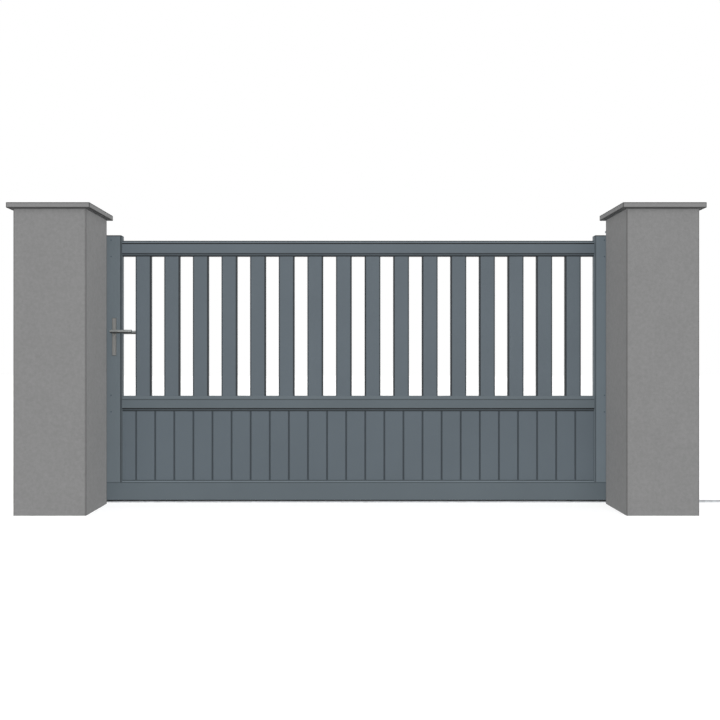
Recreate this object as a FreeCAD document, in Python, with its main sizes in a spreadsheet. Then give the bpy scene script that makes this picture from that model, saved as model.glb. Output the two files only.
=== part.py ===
import FreeCAD, Part
import math
import os
import re

import Sketcher

# Sliding driveway gate: two masonry pillars, a ground track and an aluminium leaf with upright
# slats over tongue-and-groove boards. Lengths are in millimetres. X runs to the right as seen from
# the street, Y away from the street and Z up. The origin is on the ground in the middle of the
# opening, under the middle plane of the leaf.

SIZES = {
    "opening_width": (3000, "clear width between the pillars"),
    "pillar_side": (404, "width and depth of a pillar"),
    "pillar_rise": (85, "how far a pillar without its cap rises above the leaf"),
    "pillar_bevel": (4, "bevel on the upright corners of a pillar"),
    "cap_overhang": (29, "how far a pillar cap stands out all round"),
    "cap_thickness": (30, "thickness of a pillar cap"),
    "cap_bevel": (2, "bevel on the edges of a pillar cap"),
    "leaf_gap": (40, "space between the pillars and the leaf"),
    "leaf_left_overlap": (34, "how far the closed leaf reaches behind the left pillar"),
    "leaf_right_overlap": (57, "how far the closed leaf reaches behind the right pillar"),
    "leaf_height": (1604, "overall height of the leaf"),
    "leaf_depth": (50, "thickness of the leaf's frame"),
    "ground_clearance": (16, "space between the ground and the leaf"),
    "open_remainder": (200, "how much of the opening the open leaf still covers"),
    "frame_wall": (2, "wall of the frame's hollow sections"),
    "frame_edge_bevel": (1, "bevel on the frame's outer edges"),
    "shadow_line_width": (3, "width of the shadow line between a flat face and its lip"),
    "shadow_line_depth": (1, "depth of the shadow line"),
    "infill_depth": (25, "thickness of the slats and boards"),
    "seat_clearance": (0.3, "clearance round a piece that sits in another"),
    "stile_face": (108, "width of a stile's flat face"),
    "stile_lip": (7, "width of a stile's bevelled lip"),
    "stile_cap_thickness": (10, "thickness of the cover on a stile"),
    "stile_cap_radius": (8, "rounding of the cover's ends"),
    "stile_plug_depth": (30, "how far the cover's plug reaches into the stile"),
    "bottom_rail_face": (108, "height of the bottom rail's flat face"),
    "bottom_rail_lip": (12, "height of the bottom rail's upper lips"),
    "end_cap_thickness": (3, "thickness of the bottom rail's end covers"),
    "end_plug_depth": (12, "how far an end cover's plug reaches into the rail"),
    "lower_panel_height": (417, "height of the boards between the rails' lips"),
    "mid_rail_lower_lip": (15.5, "height of the mid rail's lower lips"),
    "mid_rail_face": (58, "height of the mid rail's flat face"),
    "mid_rail_upper_lip": (20, "height of the mid rail's upper bevel"),
    "top_rail_drop": (32, "how far the top rail lies below the top of the stiles"),
    "top_rail_lower_lip": (14.5, "height of the top rail's lower bevel"),
    "top_rail_face": (64, "height of the top rail's flat face"),
    "top_rail_upper_lip": (16.5, "height of the top rail's upper bevel"),
    "slat_width": (96, "width of a slat"),
    "slat_gap": (78, "gap between slats, before it is evened out over the leaf"),
    "slat_wall": (1.5, "wall of a slat"),
    "slat_edge_bevel": (1, "bevel on a slat's upright edges"),
    "slat_seat": (14, "how far a slat reaches into each rail"),
    "board_pitch": (116, "distance from one board joint to the next"),
    "board_trim": (4.5, "cut off the last board, at the right stile"),
    "board_wall": (1.4, "wall of a board"),
    "board_joint_gap": (0.5, "gap between the shoulders of two boards"),
    "board_bevel": (4.5, "bevel beside each board joint"),
    "tongue_width": (8, "how far a board's tongue stands out"),
    "tongue_thickness": (6, "thickness of a board's tongue"),
    "board_head_gap": (3, "space above the boards in the mid rail"),
    "track_width": (40, "width of the track's flat strip"),
    "track_thickness": (4, "thickness of the track's flat strip"),
    "track_bead_radius": (8, "radius of the track's bead"),
    "running_clearance": (0.3, "clearance of the wheels and rollers"),
    "wheel_radius": (40, "outer radius of a wheel"),
    "wheel_width": (24, "width of a wheel"),
    "wheel_flange_clearance": (1.8, "space between a wheel's flanges and the strip"),
    "wheel_groove_angle": (45, "lean of the sides of a wheel's groove, in degrees"),
    "wheel_inset": (250, "distance of a wheel from the leaf's end"),
    "axle_radius": (6, "radius of a wheel's axle"),
    "carriage_length": (100, "length of a wheel carriage"),
    "carriage_wall": (3, "thickness of a wheel carriage"),
    "carriage_side_gap": (3, "space beside a wheel in its carriage"),
    "carriage_top_gap": (7, "space above a wheel in its carriage"),
    "wheel_slot_margin": (2, "space beside a wheel in its slot"),
    "stop_gap": (5, "space between the open leaf and the end stop"),
    "stop_height": (76, "height of the end stop"),
    "stop_thickness": (8, "thickness of the end stop's upright"),
    "stop_foot_length": (60, "length of the end stop's foot"),
    "stop_foot_thickness": (6, "thickness of the end stop's foot and gusset"),
    "guide_inset": (15, "distance of the guide rollers from the closed leaf's right end"),
    "guide_arm_width": (60, "width of the guide's arm"),
    "guide_arm_margin": (12, "how far the arm reaches past the pins, left and rear"),
    "guide_arm_thickness": (8, "thickness of the guide's arm and plate"),
    "guide_arm_gap": (24, "space between the leaf's top and the arm"),
    "guide_plate_drop": (40, "how far the guide's plate reaches below the arm"),
    "guide_plate_margin": (10, "space between the guide's plate and the pillar's cap"),
    "guide_gusset_reach": (60, "how far the guide's gusset reaches along the arm"),
    "roller_radius": (15, "radius of a guide roller"),
    "roller_length": (55, "length of a guide roller"),
    "roller_drop": (70, "distance from the arm down to the rollers"),
    "pin_radius": (5, "radius of a guide roller's pin"),
    "pin_head_radius": (8, "radius of the head below a guide roller"),
    "pin_head_thickness": (4, "thickness of the head below a guide roller"),
    "receiver_height": (300, "height of the receiver"),
    "receiver_wall": (4, "wall of the receiver"),
    "receiver_side_gap": (6, "space between the receiver and the leaf's faces"),
    "receiver_end_gap": (5, "space between the receiver and the leaf's edge"),
    "receiver_overlap": (20, "how far the receiver's flanges reach past the leaf's edge"),
    "receiver_foot": (50, "width of the receiver's foot on the pillar"),
    "strike_width": (24, "width of the receiver's opening for the latch"),
    "strike_height": (60, "height of the receiver's opening for the latch"),
    "latch_plate_thickness": (3, "thickness of the latch plate"),
    "latch_plate_width": (24, "width of the latch plate"),
    "latch_plate_height": (180, "height of the latch plate"),
    "latch_width": (14, "width of the latch"),
    "latch_height": (40, "height of the latch"),
    "latch_reach": (25, "how far the latch stands out of its plate"),
    "handle_inset": (68, "distance of the handle from the leaf's left end"),
    "handle_height": (1034.5, "height of the handle's axis above the ground"),
    "plate_height": (227, "height of a handle plate"),
    "plate_width": (25, "width of a handle plate"),
    "plate_thickness": (8, "thickness of a handle plate"),
    "plate_drop": (30, "how far a handle plate's centre lies below the handle's axis"),
    "plate_bevel": (1.5, "bevel on a handle plate's outer edges"),
    "lever_radius": (11.25, "radius of a lever's bar"),
    "lever_length": (118.5, "length of a lever's bar from the handle's axis"),
    "lever_standoff": (47, "distance of a lever's bar from its plate"),
    "lever_end_bevel": (1.5, "bevel on a lever's end"),
    "journal_radius": (9, "radius of a lever's shaft in its plate"),
    "journal_clearance": (0.05, "clearance of a lever's shaft in its plate"),
    "spindle_width": (8, "width of the square spindle"),
    "spindle_seat": (14, "how far the spindle reaches into each lever"),
    "spindle_clearance": (0.05, "clearance of the spindle in its sockets"),
    "spindle_hole_radius": (7.5, "radius of the holes for the spindle in the stile"),
}

doc = FreeCAD.newDocument("sliding_gate")
sheet = doc.addObject("Spreadsheet::Sheet", "Sizes")
nodes = []


def fill_sheet():
    for row, (alias, (amount, meaning)) in enumerate(SIZES.items(), 1):
        sheet.set(f"A{row}", alias)
        sheet.set(f"B{row}", str(amount))
        sheet.set(f"C{row}", meaning)
        sheet.setAlias(f"B{row}", alias)
    doc.recompute()


def bound(expression):
    """The expression with every size named as a cell of the sheet."""
    return re.sub(r"[a-z_]+", lambda word: ("Sizes." if word[0] in SIZES else "") + word[0], expression)


def number(expression):
    """The value of an expression now."""
    result = sheet.evalExpression(bound(expression))
    return float(getattr(result, "Value", result))


# Places that several pieces share

CLEAR_HALF = "(infill_depth / 2 + seat_clearance)"
LEDGE = f"({CLEAR_HALF} + frame_wall)"
HALF_DEPTH = "(leaf_depth / 2)"
INNER_HALF = "(leaf_depth / 2 - frame_wall)"
PILLAR_BACK = "(-leaf_depth / 2 - leaf_gap)"
LEAF_LEFT = "(-opening_width / 2 - leaf_left_overlap)"
LEAF_RIGHT = "(opening_width / 2 + leaf_right_overlap)"
LEAF_WIDTH = "(opening_width + leaf_left_overlap + leaf_right_overlap)"
STILE_WIDTH = "(stile_face + stile_lip)"
CLEAR_LEFT = f"({LEAF_LEFT} + {STILE_WIDTH})"
CLEAR_WIDTH = f"({LEAF_WIDTH} - 2 * {STILE_WIDTH})"
CHAMBER_LENGTH = f"({CLEAR_WIDTH} - 2 * frame_wall)"
STILE_FOOT = "(ground_clearance + bottom_rail_face)"
STILE_LENGTH = "(leaf_height - bottom_rail_face - stile_cap_thickness)"
LEAF_TOP = "(ground_clearance + leaf_height)"
PILLAR_HEIGHT = f"({LEAF_TOP} + pillar_rise)"
MID_RAIL_FOOT = "(ground_clearance + bottom_rail_face + bottom_rail_lip + lower_panel_height)"
MID_RAIL_HEIGHT = "(mid_rail_lower_lip + mid_rail_face + mid_rail_upper_lip)"
MID_RAIL_TOP = f"({MID_RAIL_FOOT} + {MID_RAIL_HEIGHT})"
TOP_RAIL_HEIGHT = "(top_rail_lower_lip + top_rail_face + top_rail_upper_lip)"
TOP_RAIL_FOOT = f"({LEAF_TOP} - top_rail_drop - {TOP_RAIL_HEIGHT})"
SLAT_COUNT = f"round(({CLEAR_WIDTH} - slat_gap) / (slat_width + slat_gap))"
SLAT_SPACE = f"(({CLEAR_WIDTH} - {SLAT_COUNT} * slat_width) / ({SLAT_COUNT} + 1))"
SLAT_PITCH = f"(slat_width + {SLAT_SPACE})"
SLAT_START = f"({CLEAR_LEFT} + {SLAT_SPACE})"
BOARD_COUNT = f"ceil(({CLEAR_WIDTH} + board_trim) / board_pitch)"
BOARD_START = f"({CLEAR_LEFT} + {CLEAR_WIDTH} + board_trim - {BOARD_COUNT} * board_pitch)"
RAIL_FLOOR = "(ground_clearance + frame_wall)"
AXLE_HEIGHT = "(track_thickness + wheel_flange_clearance + wheel_radius)"
CARRIAGE_INNER_HALF = "(wheel_width / 2 + carriage_side_gap)"
CARRIAGE_OUTER_HALF = f"({CARRIAGE_INNER_HALF} + carriage_wall)"
CARRIAGE_TOP = f"({AXLE_HEIGHT} + wheel_radius + carriage_top_gap + carriage_wall - {RAIL_FLOOR})"
SLIDE_TRAVEL = "(opening_width - open_remainder)"
STOP_FACE = f"({LEAF_RIGHT} + {SLIDE_TRAVEL} + stop_gap)"
GUIDE_X = f"({LEAF_RIGHT} - guide_inset)"
GUIDE_ARM_HEIGHT = f"({LEAF_TOP} + guide_arm_gap)"
GUIDE_PLATE_RISE = "(pillar_rise - guide_arm_gap - guide_plate_margin)"
ROLLER_Y = "(leaf_depth / 2 + running_clearance + roller_radius)"
HANDLE_X = f"({LEAF_LEFT} + handle_inset)"
PLATE_Z = "(handle_height - plate_drop)"


# Ways of making pieces


def new_body(label, x="0", y="0", z="0"):
    """A body whose own origin lies at x, y, z."""
    body = doc.addObject("PartDesign::Body", label)
    body.Label = label
    for axis, expression in zip("xyz", (x, y, z)):
        body.setExpression(f"Placement.Base.{axis}", bound(expression))
    nodes.append(body)
    return body


def origin_feature(body, role):
    return next(feature for feature in body.Origin.OriginFeatures if feature.Role == role)


def new_sketch(body, name, plane, offset="0"):
    """A sketch on XY, XZ or YZ, moved along the plane's normal by offset."""
    sketch = body.newObject("Sketcher::SketchObject", name)
    sketch.AttachmentSupport = [(origin_feature(body, f"{plane}_Plane"), "")]
    sketch.MapMode = "FlatFace"
    sketch.setExpression("AttachmentOffset.Base.z", bound(offset))
    return sketch


def pin_point(sketch, edge, end, place):
    """Holds the end of an edge at a pair of expressions, measured from the sketch's origin."""
    for kind, expression in zip(("DistanceX", "DistanceY"), place):
        rule = Sketcher.Constraint(kind, -1, 1, edge, end, number(expression))
        index = sketch.addConstraint(rule)
        sketch.setExpression(f"Constraints[{index}]", bound(expression))


def draw_outline(sketch, places):
    """A closed outline of straight edges through places, each a pair of expressions."""
    corners = [FreeCAD.Vector(number(u), number(v), 0) for u, v in places]
    first = sketch.GeometryCount
    for start, end in zip(corners, corners[1:] + corners[:1]):
        sketch.addGeometry(Part.LineSegment(start, end), False)
    for index, place in enumerate(places):
        edge = first + index
        following = first + (index + 1) % len(places)
        sketch.addConstraint(Sketcher.Constraint("Coincident", edge, 2, following, 1))
        pin_point(sketch, edge, 1, place)


def draw_rectangle(sketch, low_u, high_u, low_v, high_v):
    draw_outline(sketch, [(low_u, low_v), (high_u, low_v), (high_u, high_v), (low_u, high_v)])


def draw_centred_rectangle(sketch, width, height, u="0", v="0"):
    draw_rectangle(
        sketch,
        f"{u} - ({width}) / 2",
        f"{u} + ({width}) / 2",
        f"{v} - ({height}) / 2",
        f"{v} + ({height}) / 2",
    )


def draw_circle(sketch, radius, u="0", v="0"):
    centre = FreeCAD.Vector(number(u), number(v), 0)
    circle = Part.Circle(centre, FreeCAD.Vector(0, 0, 1), number(radius))
    edge = sketch.addGeometry(circle, False)
    index = sketch.addConstraint(Sketcher.Constraint("Radius", edge, number(radius)))
    sketch.setExpression(f"Constraints[{index}]", bound(radius))
    pin_point(sketch, edge, 3, (u, v))


def draw_half_disc(sketch, radius, height):
    """Half a disc that stands on a line at the given height."""
    centre = FreeCAD.Vector(0, number(height), 0)
    circle = Part.Circle(centre, FreeCAD.Vector(0, 0, 1), number(radius))
    arc = sketch.addGeometry(Part.ArcOfCircle(circle, 0, math.pi), False)
    start = centre + FreeCAD.Vector(number(radius), 0, 0)
    end = centre - FreeCAD.Vector(number(radius), 0, 0)
    chord = sketch.addGeometry(Part.LineSegment(end, start), False)
    sketch.addConstraint(Sketcher.Constraint("Coincident", arc, 2, chord, 1))
    sketch.addConstraint(Sketcher.Constraint("Coincident", chord, 2, arc, 1))
    pin_point(sketch, arc, 3, ("0", height))
    pin_point(sketch, arc, 1, (radius, height))
    sketch.addConstraint(Sketcher.Constraint("Horizontal", chord))


def extrude(kind, body, sketch, length, backwards=False, both_ways=False):
    """A Pad or Pocket of the given length."""
    feature = body.newObject(f"PartDesign::{kind}", f"{sketch.Name}_{kind}")
    feature.Profile = sketch
    feature.setExpression("Length", bound(length))
    feature.Reversed = backwards
    if both_ways:
        feature.SideType = "Symmetric"
    sketch.Visibility = False
    return feature


def pad(body, sketch, length, **ways):
    return extrude("Pad", body, sketch, length, **ways)


def pocket(body, sketch, length, **ways):
    """A Pocket, which has to take material away."""
    doc.recompute()
    before = body.Shape.Volume
    feature = extrude("Pocket", body, sketch, length, **ways)
    doc.recompute()
    if feature.Shape.isNull() or feature.Shape.Volume >= before:
        raise ValueError(f"{sketch.Name} cuts nothing from {body.Label}")
    return feature


def spin(body, sketch):
    """A Revolution about the sketch's upright axis."""
    feature = body.newObject("PartDesign::Revolution", f"{sketch.Name}_Revolution")
    feature.Profile = sketch
    feature.ReferenceAxis = (sketch, ["V_Axis"])
    feature.Angle = 360
    sketch.Visibility = False
    return feature


def repeat(body, feature, axis, count, pitch):
    """The feature repeated along the body's X or Y axis."""
    pattern = body.newObject("PartDesign::LinearPattern", f"{feature.Name}_row")
    pattern.Originals = [feature]
    pattern.Direction = (origin_feature(body, f"{axis}_Axis"), [""])
    pattern.Mode = "Spacing"
    pattern.setExpression("Offset", bound(pitch))
    pattern.setExpression("Occurrences", bound(count))
    body.Tip = pattern
    return pattern


def soften(kind, body, base, amount, chosen):
    """A Chamfer or Fillet on those edges of base that chosen accepts."""
    doc.recompute()
    names = [f"Edge{index}" for index, edge in enumerate(base.Shape.Edges, 1) if chosen(edge)]
    feature = body.newObject(f"PartDesign::{kind}", f"{base.Name}_{kind}")
    feature.Base = (base, names)
    feature.setExpression("Size" if kind == "Chamfer" else "Radius", bound(amount))
    return feature


def runs_along(edge, axis):
    """Whether an edge is straight and lies along x, y or z."""
    if not isinstance(edge.Curve, Part.Line):
        return False
    return abs(abs(getattr(edge.Curve.Direction, axis)) - 1) < 1e-9


def lies_at(edge, axis, places):
    """Whether the middle of an edge lies at one of the places along an axis."""
    middle = getattr(edge.CenterOfMass, axis)
    return any(abs(middle - place) < 1e-6 for place in places)


# Pillars


def make_pillar(side, sign):
    centre_x = f"{sign} * (opening_width + pillar_side) / 2"
    centre_y = f"{PILLAR_BACK} - pillar_side / 2"
    body = new_body(f"{side}_pillar", centre_x, centre_y)
    plan = new_sketch(body, f"{side}_pillar_plan", "XY")
    draw_centred_rectangle(plan, "pillar_side", "pillar_side")
    shaft = pad(body, plan, PILLAR_HEIGHT)
    soften("Chamfer", body, shaft, "pillar_bevel", lambda edge: runs_along(edge, "z"))

    cap = new_body(f"{side}_pillar_cap", centre_x, centre_y, PILLAR_HEIGHT)
    plan = new_sketch(cap, f"{side}_pillar_cap_plan", "XY")
    width = "pillar_side + 2 * cap_overhang"
    draw_centred_rectangle(plan, width, width)
    slab = pad(cap, plan, "cap_thickness")
    soften("Chamfer", cap, slab, "cap_bevel", lambda edge: True)


# Track


def make_ground_track():
    body = new_body("ground_track", LEAF_LEFT)
    length = f"{STOP_FACE} - {LEAF_LEFT}"
    strip = new_sketch(body, "strip_section", "YZ")
    draw_rectangle(strip, "-track_width / 2", "track_width / 2", "0", "track_thickness")
    pad(body, strip, f"{length} + stop_foot_length")
    bead = new_sketch(body, "bead_section", "YZ")
    draw_half_disc(bead, "track_bead_radius", "track_thickness")
    pad(body, bead, length)


def make_end_stop():
    body = new_body("end_stop", STOP_FACE, "0", "track_thickness")
    side_view = new_sketch(body, "stop_profile", "XZ")
    draw_outline(
        side_view,
        [
            ("0", "0"),
            ("stop_foot_length", "0"),
            ("stop_foot_length", "stop_foot_thickness"),
            ("stop_thickness", "stop_foot_thickness"),
            ("stop_thickness", "stop_height"),
            ("0", "stop_height"),
        ],
    )
    pad(body, side_view, "track_width", both_ways=True)
    gusset = new_sketch(body, "stop_gusset", "XZ")
    draw_outline(
        gusset,
        [
            ("stop_thickness", "stop_foot_thickness"),
            ("stop_foot_length", "stop_foot_thickness"),
            ("stop_thickness", "stop_height"),
        ],
    )
    pad(body, gusset, "stop_foot_thickness", both_ways=True)


# Frame of the leaf


def mirrored(places):
    """An outline from its right half, drawn upwards, and the same half mirrored in the V axis."""
    return places + [(f"-({u})", v) for u, v in reversed(places)]


def shadow_line(face_end, way):
    """The corners of the shadow line at one end of a rail's face, on the right, drawn upwards.

    It lies above face_end where way is 1 and below it where way is -1.
    """
    floor = f"({HALF_DEPTH} - shadow_line_depth)"
    far_side = f"({face_end} + {way} * shadow_line_width)"
    corners = [(HALF_DEPTH, face_end), (floor, face_end), (floor, far_side), (HALF_DEPTH, far_side)]
    return corners if way > 0 else corners[::-1]


def lip_hollow(root, lip, side, way):
    """The hollow in a lip that narrows from the frame's face to the ledge.

    The root is the height at which the lip starts, and way is 1 for an upper lip, -1 for a lower.
    """
    slope_wall = f"(frame_wall * sqrt(1 + ((leaf_depth / 2 - {LEDGE}) / {lip}) ^ 2))"
    width = f"(leaf_depth / 2 - {LEDGE} - {slope_wall})"
    height = f"({lip} * {width} / (leaf_depth / 2 - {LEDGE}))"
    return [
        (f"{side} * {LEDGE}", root),
        (f"{side} * ({LEDGE} + {width})", root),
        (f"{side} * {LEDGE}", f"{root} + {way} * {height}"),
    ]


def hollow_out(body, name, outlines, start, length):
    """Chambers in a rail that begin at start along it, so that the rail keeps closed ends."""
    chambers = new_sketch(body, name, "YZ", start)
    for outline in outlines:
        draw_outline(chambers, outline)
    pocket(body, chambers, length, backwards=True)


def make_bottom_rail():
    body = new_body("bottom_rail", f"{LEAF_LEFT} + end_cap_thickness", "0", "ground_clearance")
    length = f"({LEAF_WIDTH} - 2 * end_cap_thickness)"
    tip = "(bottom_rail_face + bottom_rail_lip)"
    section = new_sketch(body, "bottom_rail_section", "YZ")
    draw_outline(
        section,
        mirrored(
            [
                (f"({HALF_DEPTH} - frame_edge_bevel)", "0"),
                (HALF_DEPTH, "frame_edge_bevel"),
                *shadow_line("bottom_rail_face", -1),
                (LEDGE, tip),
                (CLEAR_HALF, tip),
                (CLEAR_HALF, "bottom_rail_face"),
            ]
        ),
    )
    chamber_top = "bottom_rail_face - frame_wall"
    draw_rectangle(section, f"-{INNER_HALF}", INNER_HALF, "frame_wall", chamber_top)
    pad(body, section, length)

    slots = new_sketch(body, "wheel_slots", "XY")
    for centre in ("(wheel_inset - end_cap_thickness)", f"({length} + end_cap_thickness - wheel_inset)"):
        width = "wheel_width + 2 * wheel_slot_margin"
        draw_centred_rectangle(slots, "2 * wheel_radius", width, centre)
    pocket(body, slots, "frame_wall", backwards=True)

    seat = f"({STILE_WIDTH} - end_cap_thickness)"
    hollows = [lip_hollow("bottom_rail_face", "bottom_rail_lip", side, "1") for side in ("-1", "1")]
    inside = f"({seat} + frame_wall)"
    hollow_out(body, "bottom_lip_hollows", hollows, inside, f"{length} - 2 * {inside}")

    notches = new_sketch(body, "stile_notches", "XY", "bottom_rail_face")
    draw_rectangle(notches, "0", seat, f"-{HALF_DEPTH}", HALF_DEPTH)
    draw_rectangle(notches, f"{length} - {seat}", length, f"-{HALF_DEPTH}", HALF_DEPTH)
    pocket(body, notches, "bottom_rail_lip", backwards=True)


def make_end_cap(side, x, way):
    """A cover for an open end of the bottom rail, whose plug points along way."""
    body = new_body(f"{side}_end_cap", x, "0", "ground_clearance")
    backwards = way < 0
    cover = new_sketch(body, f"{side}_end_cover", "YZ")
    draw_outline(
        cover,
        mirrored(
            [
                (f"({HALF_DEPTH} - frame_edge_bevel)", "0"),
                (HALF_DEPTH, "frame_edge_bevel"),
                *shadow_line("bottom_rail_face", -1),
            ]
        ),
    )
    pad(body, cover, "end_cap_thickness", backwards=backwards)
    plug = new_sketch(body, f"{side}_end_plug", "YZ")
    plug_half = f"({INNER_HALF} - seat_clearance)"
    low = "frame_wall + seat_clearance"
    draw_rectangle(plug, f"-{plug_half}", plug_half, low, f"bottom_rail_face - ({low})")
    pad(body, plug, "end_cap_thickness + end_plug_depth", backwards=backwards)


def stile_outline(sign):
    """The plan of a stile from its outer edge, with its bevels and shadow lines."""
    rear_half = [
        (f"{sign} * (stile_face + stile_lip)", LEDGE),
        (f"{sign} * stile_face", HALF_DEPTH),
        (f"{sign} * stile_face", f"{HALF_DEPTH} - shadow_line_depth"),
        (f"{sign} * (stile_face - shadow_line_width)", f"{HALF_DEPTH} - shadow_line_depth"),
        (f"{sign} * (stile_face - shadow_line_width)", HALF_DEPTH),
        (f"{sign} * frame_edge_bevel", HALF_DEPTH),
        ("0", f"{HALF_DEPTH} - frame_edge_bevel"),
    ]
    return rear_half + [(u, f"-({v})") for u, v in reversed(rear_half)]


def stile_inside(sign, wall):
    """The plan of a stile's chamber, or of what fits in it, where wall is the space left round it."""
    rear_half = [
        (f"{sign} * (stile_face + stile_lip - ({wall}))", f"{LEDGE} - ({wall}) / 2"),
        (f"{sign} * (stile_face - ({wall}) / 2)", f"{HALF_DEPTH} - ({wall})"),
        (f"{sign} * ({wall})", f"{HALF_DEPTH} - ({wall})"),
    ]
    return rear_half + [(u, f"-({v})") for u, v in reversed(rear_half)]


def make_stile(side, x, sign):
    body = new_body(f"{side}_stile", x, "0", STILE_FOOT)
    plan = new_sketch(body, f"{side}_stile_plan", "XY")
    draw_outline(plan, stile_outline(sign))
    draw_outline(plan, stile_inside(sign, "frame_wall"))
    pad(body, plan, STILE_LENGTH)
    return body


def make_lock_holes(stile):
    """Holes in the left stile for the spindle and the latch."""
    spindle_hole = new_sketch(stile, "spindle_holes", "XZ")
    draw_circle(spindle_hole, "spindle_hole_radius", "handle_inset", f"handle_height - {STILE_FOOT}")
    pocket(stile, spindle_hole, "2 * leaf_depth", both_ways=True)
    latch_hole = new_sketch(stile, "latch_hole", "YZ")
    height = f"({PLATE_Z} - {STILE_FOOT})"
    draw_centred_rectangle(latch_hole, "latch_width", "latch_height", "0", height)
    pocket(stile, latch_hole, "frame_wall", backwards=True)


def make_stile_cap(side, x, sign):
    body = new_body(f"{side}_stile_cap", x, "0", f"{LEAF_TOP} - stile_cap_thickness")
    cover = new_sketch(body, f"{side}_stile_cover", "XY")
    draw_outline(cover, stile_outline(sign))
    plate = pad(body, cover, "stile_cap_thickness")
    top = number("stile_cap_thickness")
    ends = (0, sign * number(STILE_WIDTH))
    soften(
        "Fillet",
        body,
        plate,
        "stile_cap_radius",
        lambda edge: runs_along(edge, "y") and lies_at(edge, "x", ends) and lies_at(edge, "z", [top]),
    )
    plug = new_sketch(body, f"{side}_stile_plug", "XY")
    draw_outline(plug, stile_inside(sign, "frame_wall + seat_clearance"))
    pad(body, plug, "stile_plug_depth", backwards=True)


def closed_bevel(foot, face_low, face_high, top):
    """The right half of a rail's outline that narrows to a ledge below and above its face."""
    return [(LEDGE, foot), *shadow_line(face_low, 1), *shadow_line(face_high, -1), (LEDGE, top)]


def slat_slots(body, name, height, backwards):
    """A row of slots in a rail's ledge, one for each slat."""
    slot = new_sketch(body, name, "XY", height)
    width = "slat_width + 2 * seat_clearance"
    centre = f"({SLAT_SPACE} + slat_width / 2)"
    draw_centred_rectangle(slot, width, "infill_depth + 2 * seat_clearance", centre)
    cut = pocket(body, slot, "frame_wall", backwards=backwards)
    repeat(body, cut, "X", SLAT_COUNT, SLAT_PITCH)


def make_top_rail():
    body = new_body("top_rail", CLEAR_LEFT, "0", TOP_RAIL_FOOT)
    section = new_sketch(body, "top_rail_section", "YZ")
    face_high = "(top_rail_lower_lip + top_rail_face)"
    outer = closed_bevel("0", "top_rail_lower_lip", face_high, TOP_RAIL_HEIGHT)
    draw_outline(section, mirrored(outer))
    pad(body, section, CLEAR_WIDTH)
    inner = [
        (f"({LEDGE} - frame_wall / 2)", "frame_wall"),
        (INNER_HALF, "top_rail_lower_lip + frame_wall / 2"),
        (INNER_HALF, f"{face_high} - frame_wall / 2"),
        (f"({LEDGE} - frame_wall / 2)", f"{TOP_RAIL_HEIGHT} - frame_wall"),
    ]
    hollow_out(body, "top_rail_chamber", [mirrored(inner)], "frame_wall", CHAMBER_LENGTH)
    slat_slots(body, "top_slat_slot", "0", True)


def make_mid_rail():
    body = new_body("mid_rail", CLEAR_LEFT, "0", MID_RAIL_FOOT)
    section = new_sketch(body, "mid_rail_section", "YZ")
    face_high = "(mid_rail_lower_lip + mid_rail_face)"
    outer = [(CLEAR_HALF, "mid_rail_lower_lip"), (CLEAR_HALF, "0")]
    outer += closed_bevel("0", "mid_rail_lower_lip", face_high, MID_RAIL_HEIGHT)
    draw_outline(section, mirrored(outer))
    pad(body, section, CLEAR_WIDTH)
    inner = [
        (INNER_HALF, "mid_rail_lower_lip + frame_wall"),
        (INNER_HALF, f"{face_high} - frame_wall / 2"),
        (f"({LEDGE} - frame_wall / 2)", f"{MID_RAIL_HEIGHT} - frame_wall"),
    ]
    hollows = [lip_hollow("mid_rail_lower_lip", "mid_rail_lower_lip", side, "-1") for side in ("-1", "1")]
    hollow_out(body, "mid_rail_chambers", [mirrored(inner)] + hollows, "frame_wall", CHAMBER_LENGTH)
    slat_slots(body, "mid_slat_slot", MID_RAIL_HEIGHT, False)


# Infill of the leaf


def make_slat(index):
    label = f"slat_{index + 1:02d}"
    body = new_body(label, f"{SLAT_START} + {index} * {SLAT_PITCH}", "0", f"{MID_RAIL_TOP} - slat_seat")
    plan = new_sketch(body, f"{label}_plan", "XY")
    half = "(infill_depth / 2)"
    draw_rectangle(plan, "0", "slat_width", f"-{half}", half)
    inner = f"({half} - slat_wall)"
    draw_rectangle(plan, "slat_wall", "slat_width - slat_wall", f"-{inner}", inner)
    tube = pad(body, plan, f"{TOP_RAIL_FOOT} - {MID_RAIL_TOP} + 2 * slat_seat")
    sides = (0, number("slat_width"))
    soften(
        "Chamfer",
        body,
        tube,
        "slat_edge_bevel",
        lambda edge: runs_along(edge, "z") and lies_at(edge, "x", sides),
    )


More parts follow.
